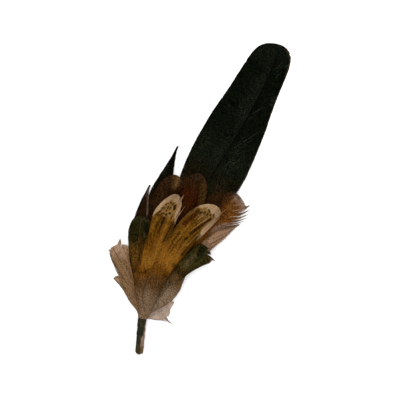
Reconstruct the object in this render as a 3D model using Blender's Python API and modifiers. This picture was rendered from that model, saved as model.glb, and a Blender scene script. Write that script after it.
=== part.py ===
"""A hat trim of sixteen small feathers, bound by their quills in a taped stem and lying face up.

The quills leave the stem beside the working origin and fan out along +Y, the way the long black
feather points. The stem runs the other way. +X is to the right seen from above, and +Z is up from the
surface that the trim lies on. Sizes are in millimetres and headings in degrees, turning from +Y to +X.
"""

import math
from typing import NamedTuple

import bmesh
import bpy
from mathutils import Matrix, Vector

MM = 0.001

# The stem: green paper tape wound over the cut quills
STEM_TOP = (-0.35, -0.15)
STEM_LENGTH = 15.5
STEM_HEADING = 161.0
STEM_RADIUS = 1.8
STEM_TAPER = 0.15
TAPE_WALL = 0.42
TAPE_PITCH = 3.7
TAPE_LAP = 0.14
STEM_SIDES = 16
STEM_RINGS = 20
SLIT_WIDTH = 0.9
SLIT_LENGTH = 7.0
SLIT_FROM_END = 4.6
SLIT_LEAN = 14.0
SLIT_ROUND = 28.0
QUILL_COUNT = 7
QUILL_GAP = 0.3
QUILL_SHOWS = 0.5
QUILL_DENT = 0.13

# How the feathers lie on each other
MOUTH_GAP = 0.35
MOUTH_STEP = 0.40
SHELF_STEP = 0.56
SHELF_REACH = 9.0
MOUTH_LIFT = 0.25
LIFT_REACH = 22.0
DOME_HEIGHT = 1.7
DOME_RISE = (2.0, 38.0)
DOME_FALL = (62.0, 112.0)
DOME_WIDTH = 10.5
DOME_SPINE = 0.045

# What a feather is made of
VANE_THICKNESS = 0.24
SHAFT_THICKNESS = 0.34
QUILL_THICKNESS = 0.28
SHAFT_HALF_WIDTH = 0.42
QUILL_HALF_WIDTH = 0.24
QUILL_ROWS = 3
BARB_BOW = 0.06
TIP_TRIM = 0.994


class Feather(NamedTuple):
    """One feather: its shaft from the stem to the tip, and how far its vane reaches to each side.

    left and right are at six even stations, from the foot of the vane to the tip. cap rounds off the
    tip: a high first number is blunt, and a second number of 1 is pointed where 0.5 is round.
    """

    name: str
    finish: str
    level: int
    root: float
    tip: tuple
    leave: float
    arrive: float
    foot: float
    left: tuple
    right: tuple
    cap: tuple
    rake: float
    fray: float
    rows: int


FEATHERS = (
    Feather("long_black_feather", "black", 0, 0.0, (5.9, 135.4), -12, -6, 0.20,
            (3.0, 7.6, 12.7, 14.0, 12.8, 12.6), (3.0, 8.5, 14.8, 11.5, 8.3, 11.2), (14, 0.5), 0.45, 0.02, 30),
    Feather("lower_down_feather", "down", 0, -0.9, (-19.2, 11.2), -40, -66, 0.15,
            (1.0, 1.2, 1.2, 0.8, 0.5, 0.4), (1.0, 2.5, 3.5, 4.0, 4.0, 3.4), (14, 0.5), 0.50, 0.20, 12),
    Feather("right_down_feather", "down", 0, 0.9, (9.7, 8.0), 48, 66, 0.14,
            (1.2, 3.4, 4.6, 5.4, 6.8, 8.0), (0.8, 2.0, 3.0, 3.8, 5.0, 6.6), (30, 0.5), 0.30, 0.16, 14),
    Feather("tall_pointed_feather", "pointed", 1, -0.2, (-16.9, 76.4), -21, 3, 0.35,
            (2.5, 4.2, 4.7, 4.6, 3.5, 2.0), (2.5, 4.2, 4.8, 5.4, 5.4, 4.0), (3, 1.0), 0.50, 0.04, 15),
    Feather("right_brown_feather", "brown", 1, 0.7, (6.5, 69.8), -1, 2, 0.42,
            (4.0, 6.5, 8.0, 8.5, 8.5, 8.5), (4.0, 7.0, 9.5, 10.5, 11.0, 11.0), (14, 0.5), 0.45, 0.04, 14),
    Feather("left_down_feather", "down", 1, -1.0, (-25.4, 23.5), -36, -52, 0.06,
            (1.0, 3.4, 4.3, 3.6, 3.2, 3.0), (1.0, 2.5, 4.0, 6.0, 7.8, 9.0), (12, 0.5), 0.40, 0.14, 18),
    Feather("short_pointed_feather", "pointed", 2, -0.8, (-21.2, 55.5), -26, 5, 0.30,
            (2.5, 3.6, 4.0, 3.2, 2.6, 2.0), (2.5, 4.0, 5.0, 5.4, 5.6, 4.5), (3, 1.0), 0.50, 0.05, 15),
    Feather("middle_brown_feather", "brown", 2, 0.2, (-5.8, 69.0), -12, -8, 0.45,
            (4.0, 6.0, 7.2, 7.5, 7.5, 7.5), (4.0, 6.0, 7.2, 7.5, 7.5, 7.5), (8, 0.5), 0.45, 0.03, 13),
    Feather("left_chestnut_feather", "chestnut", 3, -0.3, (-12.4, 64.3), -14, -8, 0.42,
            (4.0, 6.0, 7.6, 8.0, 8.0, 7.5), (4.0, 6.0, 7.0, 7.5, 7.5, 7.0), (6, 0.5), 0.45, 0.04, 14),
    Feather("buff_feather", "buff", 3, 0.9, (22.2, 55.6), 12, 40, 0.30,
            (3.0, 5.0, 6.2, 7.0, 5.5, 3.0), (1.5, 2.2, 2.6, 2.9, 2.0, 1.4), (6, 0.8), 0.45, 0.10, 15),
    Feather("left_green_feather", "green", 4, -0.6, (-18.8, 41.5), -36, -14, 0.12,
            (1.0, 1.4, 1.9, 3.5, 5.1, 6.2), (2.0, 4.5, 6.5, 7.5, 7.5, 6.5), (18, 0.5), 0.45, 0.08, 15),
    Feather("rust_feather", "rust", 4, 0.6, (16.0, 67.6), 0, 18, 0.33,
            (3.0, 5.0, 6.0, 6.5, 6.0, 5.0), (1.5, 2.0, 2.5, 3.6, 10.4, 9.0), (20, 0.5), 0.45, 0.20, 20),
    Feather("right_chestnut_feather", "chestnut", 5, 0.2, (-2.9, 69.0), -8, -4, 0.42,
            (4.0, 6.0, 7.2, 7.4, 7.0, 7.0), (4.0, 6.0, 7.2, 7.4, 7.0, 7.0), (7, 0.5), 0.45, 0.02, 14),
    Feather("right_green_feather", "green", 6, 0.8, (13.9, 40.0), 10, 32, 0.10,
            (2.0, 4.0, 4.6, 4.8, 4.8, 5.2), (0.8, 3.6, 5.6, 2.8, 4.2, 6.8), (24, 0.5), 0.40, 0.08, 18),
    Feather("left_golden_feather", "golden", 7, -0.4, (-8.4, 57.4), -14, 8, 0.08,
            (2.0, 4.8, 6.0, 6.4, 6.0, 5.0), (2.0, 4.8, 5.6, 5.5, 5.3, 6.4), (8, 0.5), 0.42, 0.02, 18),
    Feather("right_golden_feather", "golden", 8, 0.4, (11.0, 58.6), -10, 24, 0.08,
            (2.0, 4.8, 6.2, 7.5, 8.9, 8.8), (2.0, 3.0, 3.0, 3.0, 3.3, 6.0), (8, 0.5), 0.42, 0.02, 18),
)

# Each finish: colour, roughness
FINISHES = {
    "black": ((0.012, 0.018, 0.013), 0.45),
    "pointed": ((0.020, 0.018, 0.010), 0.50),
    "brown": ((0.035, 0.018, 0.008), 0.60),
    "chestnut": ((0.060, 0.016, 0.006), 0.55),
    "rust": ((0.180, 0.060, 0.015), 0.70),
    "buff": ((0.280, 0.180, 0.120), 0.75),
    "green": ((0.045, 0.050, 0.016), 0.50),
    "golden": ((0.230, 0.110, 0.018), 0.60),
    "down": ((0.250, 0.170, 0.110), 0.85),
    "tape": ((0.035, 0.045, 0.035), 0.75),
    "quill": ((0.230, 0.140, 0.090), 0.50),
}


def smooth_step(value, low, high):
    """0 below low, 1 above high, and an eased ramp between."""
    share = min(1.0, max(0.0, (value - low) / (high - low)))
    return share * share * (3.0 - 2.0 * share)


def ease_between(values, share):
    """The value at a share of the way along evenly spaced stations, eased from each to the next."""
    place = min(max(share, 0.0), 1.0) * (len(values) - 1)
    station = min(int(place), len(values) - 2)
    before = values[max(station - 1, 0)]
    start = values[station]
    end = values[station + 1]
    after = values[min(station + 2, len(values) - 1)]
    t = place - station
    slope_in = 0.5 * (end - before)
    slope_out = 0.5 * (after - start)
    return ((2 * t**3 - 3 * t**2 + 1) * start + (t**3 - 2 * t**2 + t) * slope_in
            + (3 * t**2 - 2 * t**3) * end + (t**3 - t**2) * slope_out)


def heading(degrees):
    """The unit direction in the plane, turning from +Y to +X."""
    return Vector((math.sin(math.radians(degrees)), math.cos(math.radians(degrees))))


def shaft_point(feather, share):
    """Where the shaft is, and its direction, at a share of its length from the stem: one smooth Hermite arc."""
    start = Vector((feather.root, MOUTH_GAP))
    end = Vector(feather.tip)
    chord = (end - start).length
    leave = heading(feather.leave) * chord
    arrive = heading(feather.arrive) * chord
    t = share
    place = (start * (2 * t**3 - 3 * t**2 + 1) + leave * (t**3 - 2 * t**2 + t)
             + end * (3 * t**2 - 2 * t**3) + arrive * (t**3 - t**2))
    along = (start * (6 * t**2 - 6 * t) + leave * (3 * t**2 - 4 * t + 1)
             + end * (6 * t - 6 * t**2) + arrive * (3 * t**2 - 2 * t))
    return place, along.normalized()


def beside_shaft(feather, share, side, distance):
    """The point at that distance from the shaft, on its right where side is 1 and its left where -1."""
    place, along = shaft_point(feather, share)
    return place + Vector((along.y, -along.x)) * side * distance


def edge_point(feather, grown, side):
    """The vane's edge at a share of the way from its foot to its tip."""
    widths = feather.right if side > 0 else feather.left
    blunt, power = feather.cap
    width = ease_between(widths, grown) * (1.0 - grown**blunt) ** power
    return beside_shaft(feather, feather.foot + (1.0 - feather.foot) * grown, side, max(width, SHAFT_HALF_WIDTH))


def barb_point(feather, grown, side, reach):
    """A point of the barb that grows at this share of the vane, at a share reach of the barb's own length.

    A barb rakes forward, so it meets the edge nearer the tip than it leaves the shaft, and it bows.
    """
    foot, _ = shaft_point(feather, feather.foot + (1.0 - feather.foot) * grown)
    end = edge_point(feather, TIP_TRIM * (grown + feather.rake * grown * (1.0 - grown)), side)
    barb = end - foot
    bow = Vector((barb.y, -barb.x)) * side * BARB_BOW * 4.0 * reach * (1.0 - reach)
    return foot + barb * reach + bow


def lie_height(point, level):
    """The height of a feather's underside: the shared dome of the bunch, and the feathers below it."""
    spine = DOME_SPINE * point.y
    dome = (DOME_HEIGHT * smooth_step(point.y, *DOME_RISE) * (1.0 - smooth_step(point.y, *DOME_FALL))
            * math.exp(-((point.x - spine) ** 2) / (2.0 * DOME_WIDTH**2)))
    step = MOUTH_STEP + (SHELF_STEP - MOUTH_STEP) * smooth_step(point.y, 0.0, SHELF_REACH)
    lift = MOUTH_LIFT * (1.0 - smooth_step(point.y, 0.0, LIFT_REACH))
    return dome + lift + level * step


def sheet_point(feather, row, reach):
    """A point of the sheet: a few rows up the bare quill, and then the vane's rows, which follow its barbs."""
    side = 1.0 if reach >= 0.0 else -1.0
    if row < QUILL_ROWS:
        return beside_shaft(feather, feather.foot * row / QUILL_ROWS, side, QUILL_HALF_WIDTH * abs(reach))
    grown = (row - QUILL_ROWS) / (feather.rows - 1)
    if 0.0 < abs(reach) < 0.3:
        share = feather.foot + (1.0 - feather.foot) * grown
        return beside_shaft(feather, share, side, SHAFT_HALF_WIDTH * (1.0 - 0.6 * grown))
    length = 1.0 - feather.fray * ((row - QUILL_ROWS) % 2)
    return barb_point(feather, grown, side, abs(reach) * length)


def feather_mesh(feather):
    """The feather's underside as one sheet, with its middle column along the shaft."""
    reaches = (-1.0, -0.5, -0.1, 0.0, 0.1, 0.5, 1.0)
    rows = QUILL_ROWS + feather.rows
    sheet = bmesh.new()
    bmesh.ops.create_grid(sheet, x_segments=len(reaches) - 1, y_segments=rows - 1, size=1.0)
    weight = sheet.verts.layers.deform.new()
    for vert in sheet.verts:
        column = round((vert.co.x + 1.0) / 2.0 * (len(reaches) - 1))
        row = round((vert.co.y + 1.0) / 2.0 * (rows - 1))
        flat = sheet_point(feather, row, reaches[column])
        vert.co = Vector((flat.x, flat.y, lie_height(flat, feather.level))) * MM
        thickness = VANE_THICKNESS
        if row < QUILL_ROWS:
            thickness = QUILL_THICKNESS
        elif reaches[column] == 0.0 and row < rows - 1:
            thickness = SHAFT_THICKNESS
        vert[weight][0] = thickness / SHAFT_THICKNESS
    bmesh.ops.recalc_face_normals(sheet, faces=sheet.faces)
    if sum(face.normal.z for face in sheet.faces) < 0.0:
        bmesh.ops.reverse_faces(sheet, faces=sheet.faces)
    mesh = bpy.data.meshes.new(feather.name)
    sheet.to_mesh(mesh)
    sheet.free()
    return mesh


def make_feather(feather, collection):
    """A closed solid: the sheet thickened upwards, most along the shaft."""
    obj = bpy.data.objects.new(feather.name, feather_mesh(feather))
    obj.vertex_groups.new(name="thickness")
    collection.objects.link(obj)
    obj.data.materials.append(finish(feather.finish))
    body = obj.modifiers.new("body", "SOLIDIFY")
    body.thickness = SHAFT_THICKNESS * MM
    body.offset = 1.0
    body.vertex_group = "thickness"
    body.thickness_vertex_group = 0.0
    obj.data.shade_smooth()
    obj.data.set_sharp_from_angle(angle=math.radians(40.0))
    return obj


def finish(name):
    """The material of that name, made once."""
    if name in bpy.data.materials:
        return bpy.data.materials[name]
    colour, roughness = FINISHES[name]
    material = bpy.data.materials.new(name)
    material.use_nodes = True
    shader = material.node_tree.nodes["Principled BSDF"]
    shader.inputs["Base Color"].default_value = (*colour, 1.0)
    shader.inputs["Roughness"].default_value = roughness
    shader.inputs["Metallic"].default_value = 0.0
    return material


def rod(name, length, radius_at, sides, rings):
    """A closed rod along +Z from the origin, its radius given by height and angle."""
    shape = bmesh.new()
    bmesh.ops.create_cone(shape, cap_ends=True, segments=sides, radius1=1.0, radius2=1.0, depth=length)
    bmesh.ops.translate(shape, verts=shape.verts, vec=(0.0, 0.0, 0.5 * length))
    uprights = [edge for edge in shape.edges if abs(edge.verts[0].co.z - edge.verts[1].co.z) > 0.5 * length]
    bmesh.ops.subdivide_edges(shape, edges=uprights, cuts=rings - 1, use_grid_fill=True)
    for vert in shape.verts:
        around = math.atan2(vert.co.y, vert.co.x)
        radius = radius_at(vert.co.z, around)
        vert.co.x, vert.co.y = radius * math.cos(around), radius * math.sin(around)
    bmesh.ops.scale(shape, vec=(MM, MM, MM), verts=shape.verts)
    mesh = bpy.data.meshes.new(name)
    shape.to_mesh(mesh)
    shape.free()
    return bpy.data.objects.new(name, mesh)


def along_stem(start, height):
    """The matrix that stands a rod of +Z along the stem, start millimetres down from the stem's top."""
    down = heading(STEM_HEADING)
    z_axis = Vector((down.x, down.y, 0.0))
    y_axis = Vector((0.0, 0.0, 1.0))
    x_axis = y_axis.cross(z_axis)
    turn = Matrix((x_axis, y_axis, z_axis)).transposed().to_4x4()
    place = (Vector((*STEM_TOP, 0.0)) + z_axis * start + y_axis * height) * MM
    return Matrix.Translation(place) @ turn


def tape_radius(height, around):
    """The tape's outside: each turn laps over the last, so the radius steps along a helix."""
    turn = height / TAPE_PITCH + around / (2.0 * math.pi)
    lap = TAPE_LAP * (turn - math.floor(turn))
    return STEM_RADIUS - TAPE_LAP - STEM_TAPER * height / STEM_LENGTH + lap


def quill_radius(height, around):
    """The glued quills inside: a rod with a shallow groove between each two quills."""
    inside = STEM_RADIUS - TAPE_LAP - STEM_TAPER - TAPE_WALL - QUILL_GAP
    return inside - QUILL_DENT * 0.5 * (1.0 + math.cos(QUILL_COUNT * around))


def bore_radius(height, around):
    """The tape's inside."""
    return STEM_RADIUS - TAPE_LAP - STEM_TAPER - TAPE_WALL


def make_stem(collection, cutters):
    """The wound tape, with its slit near the end, and the bundle of quills that shows there."""
    tape = rod("stem_tape", STEM_LENGTH, tape_radius, STEM_SIDES, STEM_RINGS)
    bore = rod("tape_bore", STEM_LENGTH + 2.0, bore_radius, STEM_SIDES, 1)
    bundle = rod("quill_bundle", STEM_LENGTH + QUILL_SHOWS, quill_radius, 4 * QUILL_COUNT, 1)
    tape.matrix_world = along_stem(0.0, STEM_RADIUS)
    bore.matrix_world = along_stem(-1.0, STEM_RADIUS)
    bundle.matrix_world = along_stem(0.0, STEM_RADIUS)
    slit_mesh = bpy.data.meshes.new("tape_slit")
    slit_shape = bmesh.new()
    bmesh.ops.create_cube(slit_shape, size=1.0)
    bmesh.ops.scale(slit_shape, vec=Vector((SLIT_WIDTH, STEM_RADIUS, SLIT_LENGTH)) * MM, verts=slit_shape.verts)
    bmesh.ops.bevel(slit_shape, geom=slit_shape.edges[:], offset=0.2 * MM, segments=1,
                    affect="EDGES", profile=0.5, material=-1)
    slit_shape.to_mesh(slit_mesh)
    slit_shape.free()
    slit = bpy.data.objects.new("tape_slit", slit_mesh)
    slit.matrix_world = (along_stem(STEM_LENGTH - SLIT_FROM_END, STEM_RADIUS)
                         @ Matrix.Rotation(math.radians(SLIT_ROUND), 4, "Z")
                         @ Matrix.Translation((0.0, (STEM_RADIUS + 0.3) * MM, 0.0))
                         @ Matrix.Rotation(math.radians(SLIT_LEAN), 4, "Y"))
    for obj, name in ((tape, "tape"), (bundle, "quill")):
        collection.objects.link(obj)
        obj.data.materials.append(finish(name))
        obj.data.shade_smooth()
        obj.data.set_sharp_from_angle(angle=math.radians(40.0))
    for cutter in (bore, slit):
        cutters.objects.link(cutter)
        cutter.hide_render = True
        cutter.display_type = "WIRE"
        cut = tape.modifiers.new(cutter.name, "BOOLEAN")
        cut.operation = "DIFFERENCE"
        cut.object = cutter
    return [tape, bundle]


def corners_of(objects):
    """The lowest and highest corner of these objects as they are evaluated, in metres."""
    bpy.context.view_layer.update()
    graph = bpy.context.evaluated_depsgraph_get()
    points = []
    for obj in objects:
        shown = obj.evaluated_get(graph)
        points += [shown.matrix_world @ vert.co for vert in shown.data.vertices]
    low = Vector([min(point[axis] for point in points) for axis in range(3)])
    high = Vector([max(point[axis] for point in points) for axis in range(3)])
    return low, high


def main():
    for obj in list(bpy.data.objects):
        bpy.data.objects.remove(obj)
    trim = bpy.data.collections.new("feather_hat_trim")
    cutters = bpy.data.collections.new("cutters")
    bpy.context.scene.collection.children.link(trim)
    bpy.context.scene.collection.children.link(cutters)
    parts = [make_feather(feather, trim) for feather in FEATHERS]
    parts += make_stem(trim, cutters)
    low, high = corners_of(parts)
    centre = Vector((0.5 * (low.x + high.x), 0.5 * (low.y + high.y), low.z))
    for obj in parts + list(cutters.objects):
        obj.matrix_world = Matrix.Translation(-centre) @ obj.matrix_world


main()
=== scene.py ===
"""The looks of a feather hat trim: its barbs, shafts, down and taped stem, on a pale floor in soft light.

Lengths in the tables are millimetres from the trim's working origin, as in the part's own source, with +Y
along the long black feather. Headings are degrees from +Y towards +X. A vane's stations run from its foot
to its tip. A place on a vane is (across, back): across the shaft to its right, and back from its tip.
"""

import math
from typing import NamedTuple

import bmesh
import bpy
import numpy as np
from mathutils import Matrix, Vector


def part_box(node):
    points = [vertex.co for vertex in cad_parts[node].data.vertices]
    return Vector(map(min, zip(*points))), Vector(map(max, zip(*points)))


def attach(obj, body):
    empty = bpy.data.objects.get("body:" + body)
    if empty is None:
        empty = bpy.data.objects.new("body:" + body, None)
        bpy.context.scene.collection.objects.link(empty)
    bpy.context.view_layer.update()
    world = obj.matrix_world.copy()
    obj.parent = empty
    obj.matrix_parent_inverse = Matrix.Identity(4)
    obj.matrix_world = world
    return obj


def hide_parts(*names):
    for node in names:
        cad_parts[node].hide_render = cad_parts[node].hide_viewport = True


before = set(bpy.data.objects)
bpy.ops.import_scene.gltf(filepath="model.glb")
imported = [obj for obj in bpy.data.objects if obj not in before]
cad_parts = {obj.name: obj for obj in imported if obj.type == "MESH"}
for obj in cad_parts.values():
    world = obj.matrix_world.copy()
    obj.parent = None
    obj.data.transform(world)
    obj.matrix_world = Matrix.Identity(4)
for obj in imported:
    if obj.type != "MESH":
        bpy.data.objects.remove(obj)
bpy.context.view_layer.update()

MM = 0.001

# The stem
STEM_TOP = (-0.35, -0.15)
STEM_LENGTH = 15.5
STEM_HEADING = 161.0
STEM_RADIUS = 1.8
STEM_SPREAD = 1.12
STEM_ASIDE = 0.12
STEM_TAPER = 0.15
TAPE_WALL = 0.42
TAPE_PITCH = 3.7
TAPE_LAP = 0.14
TAPE_CREASE = 0.018
TAPE_LUMPS = (0.030, 0.020)
TAPE_INSET = 0.03
TAPE_SIDES = 72
TAPE_RINGS = 140
STEM_END = 0.6
STEM_END_ROUNDING = 0.12
BUNDLE_LENGTH = 16.0

# How the feathers lie on each other, as in the part
MOUTH_GAP = 0.35
MOUTH_STEP = 0.40
SHELF_STEP = 0.56
SHELF_REACH = 9.0
MOUTH_LIFT = 0.25
LIFT_REACH = 22.0
DOME_HEIGHT = 1.7
DOME_RISE = (2.0, 38.0)
DOME_FALL = (62.0, 112.0)
DOME_WIDTH = 10.5
DOME_SPINE = 0.045
SHAFT_HALF_WIDTH = 0.42

# What a vane is made of
BARB_THICKNESS = 0.05
BARB_STEPS = 10
BARB_BOW = 0.06
BARB_TILT = 0.07
BARB_UNEVEN = 0.08
BARB_OVERLAP = 1.6
BARBS_CLOSE_UP = 1.2
DOWN_THINNER = 0.2
FRAY_BY_LOCK = 0.6
FRAY_BY_BARB = 0.4
LOCK_LEAN = 0.3
SPIKE_PULL = 0.88
WAVES_ON_BARB = 1.3
WAVE_DRIFT = 0.03
VANE_LIFT = 0.09
MOUTH_HALF_WIDTH = 1.9
SHAFT_SAMPLES = 300
OUTLINE_SAMPLES = 200
BATCHES = 12
SHAFT_SIDES = 8
SHAFT_RINGS = 40
SHAFT_REACH = 0.985
SHAFT_TAPER = 0.75
SHAFT_FLATNESS = 0.6
SHAFT_LIFT = 0.14
QUILL_RADIUS = 0.24
SHARP_EDGE = math.radians(35.0)

# The photograph: its scale, its middle in the part's lengths, and how far the part is turned in it
FRAME_WIDTH = 177.6
FRAME_MIDDLE = (1.82, 58.45)
FRAME_TURN = 24.0
CAMERA_LENS = 85.0
CAMERA_SENSOR = 36.0
FRAME_HEIGHT = 2.0

# How bright the light makes a white surface. The tables of colours hold what the photograph shows.
LIGHT = 1.3
SURROUND = 1.5
LAMP_PLACE = (-0.45, 0.35, 0.75)
LAMP_WIDTH = 0.7
LAMP_WATTS = 2.0
FLOOR_HALF_WIDTH = 2.0
FLOOR_COLOUR = (0.96, 0.96, 0.96, 1.0)


class Feather(NamedTuple):
    """The form of one feather: its shaft from the stem to the tip, and how far its vane reaches each way."""

    name: str
    level: int
    root: float
    tip: tuple
    leave: float
    arrive: float
    foot: float
    left: tuple
    right: tuple
    cap: tuple


class Lay(NamedTuple):
    """How the barbs of one feather lie.

    barbs is for each side. rake sets how far forward they lean, from 1 for square to the shaft. fray is how
    uneven their lengths are, loose how far they draw together in locks, and thin how far each one narrows.
    Below the share downy of the vane they are fine and wavy. from_stem is true where they start at the stem.
    Each lock of spikes is (side, share of the vane, half width in shares, place of its point), and each notch
    (side, share, half width, how much shorter).
    """

    barbs: int
    rake: float
    fray: float
    loose: float
    thin: float
    downy: float
    wave: float
    rise: float
    shaft: float
    from_stem: bool
    spikes: tuple = ()
    notches: tuple = ()


FEATHERS = (
    Feather("long_black_feather", 0, 0.0, (6.25, 136.3), -12, -6, 0.20,
            (3.0, 7.6, 13.1, 14.6, 12.9, 10.8), (3.0, 8.6, 14.1, 11.7, 8.1, 8.0), (30, 0.5)),
    Feather("lower_down_feather", 0, -0.9, (-19.2, 11.2), -40, -66, 0.15,
            (1.0, 1.2, 1.2, 0.8, 0.5, 0.4), (1.0, 2.5, 3.5, 4.0, 4.0, 3.4), (14, 0.5)),
    Feather("right_down_feather", 0, 0.9, (9.7, 8.0), 48, 66, 0.14,
            (1.2, 3.4, 4.6, 5.4, 6.8, 8.0), (0.9, 2.6, 3.5, 4.6, 5.8, 6.6), (30, 0.5)),
    Feather("tall_pointed_feather", 1, -0.2, (-16.9, 76.4), -21, 3, 0.35,
            (2.5, 4.2, 5.0, 5.1, 3.1, 2.0), (2.5, 4.2, 4.8, 5.4, 5.4, 4.0), (3, 1.0)),
    Feather("right_brown_feather", 1, 0.7, (6.5, 69.8), -1, 2, 0.42,
            (4.0, 6.5, 8.0, 8.5, 8.5, 8.5), (4.0, 7.0, 9.5, 10.5, 11.0, 11.0), (14, 0.5)),
    Feather("left_down_feather", 1, -1.0, (-25.4, 23.5), -36, -52, 0.06,
            (1.0, 3.4, 4.3, 3.8, 3.4, 3.2), (1.0, 4.0, 6.5, 8.0, 8.8, 9.6), (14, 0.5)),
    Feather("short_pointed_feather", 2, -0.8, (-21.2, 55.5), -26, 5, 0.30,
            (2.5, 3.6, 3.7, 2.9, 2.3, 2.0), (2.5, 4.0, 5.0, 5.4, 5.6, 4.5), (3, 1.0)),
    Feather("middle_brown_feather", 2, 0.2, (-5.8, 69.0), -12, -8, 0.45,
            (4.0, 6.0, 7.2, 7.5, 7.5, 7.5), (4.0, 6.0, 7.2, 7.5, 7.5, 7.5), (8, 0.5)),
    Feather("left_chestnut_feather", 3, -0.3, (-12.4, 64.3), -14, -8, 0.42,
            (4.0, 6.0, 7.6, 8.0, 8.0, 7.5), (4.0, 6.0, 7.0, 7.5, 7.5, 7.0), (6, 0.5)),
    Feather("buff_feather", 3, 0.9, (22.2, 55.6), 12, 40, 0.30,
            (3.0, 5.0, 6.2, 7.0, 5.5, 3.0), (1.5, 2.2, 2.6, 3.0, 3.0, 1.8), (6, 0.8)),
    Feather("left_green_feather", 4, -0.6, (-18.8, 41.5), -36, -14, 0.12,
            (1.0, 1.4, 1.9, 3.8, 5.1, 5.0), (2.0, 4.5, 6.5, 7.5, 7.5, 6.5), (18, 0.5)),
    Feather("rust_feather", 4, 0.6, (16.0, 67.6), 0, 18, 0.33,
            (3.0, 5.0, 6.0, 6.5, 6.0, 5.0), (1.5, 2.0, 2.5, 3.6, 10.4, 9.0), (20, 0.5)),
    Feather("right_chestnut_feather", 5, 0.2, (-2.9, 69.0), -8, -4, 0.42,
            (4.0, 6.0, 7.2, 7.4, 7.0, 7.0), (4.0, 6.0, 7.2, 7.4, 7.0, 7.0), (7, 0.5)),
    Feather("right_green_feather", 6, 0.8, (14.1, 40.2), 10, 32, 0.10,
            (2.0, 4.0, 4.6, 4.8, 4.8, 5.2), (1.2, 4.9, 5.4, 2.8, 4.2, 6.8), (24, 0.5)),
    Feather("left_golden_feather", 7, -0.4, (-8.05, 56.6), -14, 8, 0.08,
            (2.0, 4.8, 5.8, 5.1, 6.4, 5.0), (2.0, 4.8, 5.6, 5.5, 5.3, 6.4), (8, 0.5)),
    Feather("right_golden_feather", 8, 0.4, (11.0, 58.6), -10, 24, 0.08,
            (2.0, 4.8, 6.2, 7.5, 8.9, 8.8), (2.0, 3.0, 3.0, 3.0, 3.3, 6.0), (8, 0.5)),
)

LAYS = {
    "long_black_feather": Lay(300, 1.90, 0.014, 0.02, 0.0, 0.20, 0.1, 0.0, 0.60, False, (),
                              ((-1, 0.885, 0.004, 0.015), (-1, 0.70, 0.003, 0.012), (1, 0.975, 0.004, 0.02))),
    "lower_down_feather": Lay(140, 1.60, 0.08, 0.08, 0.1, 1.0, 0.15, 0.0, 0.25, True),
    "right_down_feather": Lay(200, 1.45, 0.09, 0.08, 0.1, 1.0, 0.15, 0.2, 0.25, True,
                              ((1, 0.800, 0.045, (6.2, -1.6)), (1, 0.885, 0.040, (7.8, -3.7)),
                               (-1, 0.945, 0.025, (-6.9, -3.4)), (-1, 0.986, 0.014, (-3.6, -2.0))),
                              ((1, 0.968, 0.030, 0.48),)),
    "tall_pointed_feather": Lay(140, 1.80, 0.04, 0.12, 0.1, 0.2, 0.1, 0.1, 0.40, False),
    "right_brown_feather": Lay(180, 1.60, 0.12, 0.12, 0.35, 0.3, 0.1, 0.1, 0.40, False),
    "left_down_feather": Lay(240, 1.60, 0.06, 0.08, 0.1, 0.9, 0.15, 0.2, 0.35, True,
                             ((1, 0.985, 0.010, (4.9, -1.8)), (-1, 0.975, 0.014, (-2.3, 0.1)),
                              (-1, 0.64, 0.016, (-5.6, 12.0))),
                             ((1, 0.955, 0.022, 0.12),)),
    "short_pointed_feather": Lay(130, 1.80, 0.05, 0.12, 0.1, 0.2, 0.1, 0.1, 0.40, False),
    "middle_brown_feather": Lay(160, 1.60, 0.12, 0.10, 0.35, 0.3, 0.1, 0.1, 0.35, False),
    "left_chestnut_feather": Lay(170, 1.60, 0.07, 0.10, 0.25, 0.3, 0.1, 0.1, 0.35, False),
    "buff_feather": Lay(220, 1.60, 0.20, 0.08, 0.05, 0.5, 0.1, 0.1, 0.25, False),
    "left_green_feather": Lay(190, 1.70, 0.05, 0.08, 0.1, 0.35, 0.1, 0.1, 0.35, True),
    "rust_feather": Lay(300, 1.50, 0.07, 0.20, 0.15, 0.3, 0.1, 0.2, 0.35, False,
                        ((1, 0.735, 0.018, (11.0, 7.4)), (1, 0.770, 0.016, (11.2, 6.0)),
                         (1, 0.802, 0.016, (11.1, 4.7)), (1, 0.834, 0.016, (10.5, 3.5)),
                         (1, 0.866, 0.016, (9.7, 2.3)), (1, 0.898, 0.016, (8.5, 1.0)),
                         (1, 0.938, 0.024, (7.3, -0.2)))),
    "right_chestnut_feather": Lay(180, 1.60, 0.06, 0.08, 0.2, 0.3, 0.1, 0.1, 0.35, False),
    "right_green_feather": Lay(280, 1.80, 0.06, 0.05, 0.0, 0.40, 0.1, 0.1, 0.25, True,
                               ((1, 0.985, 0.008, (6.5, 0.5)),)),
    "left_golden_feather": Lay(240, 2.60, 0.015, 0.05, 0.0, 0.34, 0.1, 0.2, 0.16, True,
                               ((1, 0.984, 0.010, (2.4, -1.8)), (1, 0.925, 0.008, (5.6, 2.1)))),
    "right_golden_feather": Lay(240, 2.60, 0.015, 0.05, 0.0, 0.34, 0.1, 0.3, 0.16, True,
                                ((1, 0.978, 0.010, (2.2, -2.2)),)),
}


def working_origin():
    """The tables' origin in the frame, from the quill bundle, whose box is centred half its length down."""
    low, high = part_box("quill_bundle")
    middle = 0.5 * (low + high) / MM
    down = Vector((*heading(STEM_HEADING), 0.0))
    return (Vector((middle.x, middle.y, 0.0)) - down * 0.5 * BUNDLE_LENGTH - Vector((*STEM_TOP, 0.0))) * MM


def heading(degrees):
    """The unit direction in the plane, turning from +Y to +X."""
    return np.array((math.sin(math.radians(degrees)), math.cos(math.radians(degrees))))


def smooth_step(value, low, high):
    """0 below low, 1 above high, and an eased ramp between."""
    share = np.clip((value - low) / (high - low), 0.0, 1.0)
    return share * share * (3.0 - 2.0 * share)


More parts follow.
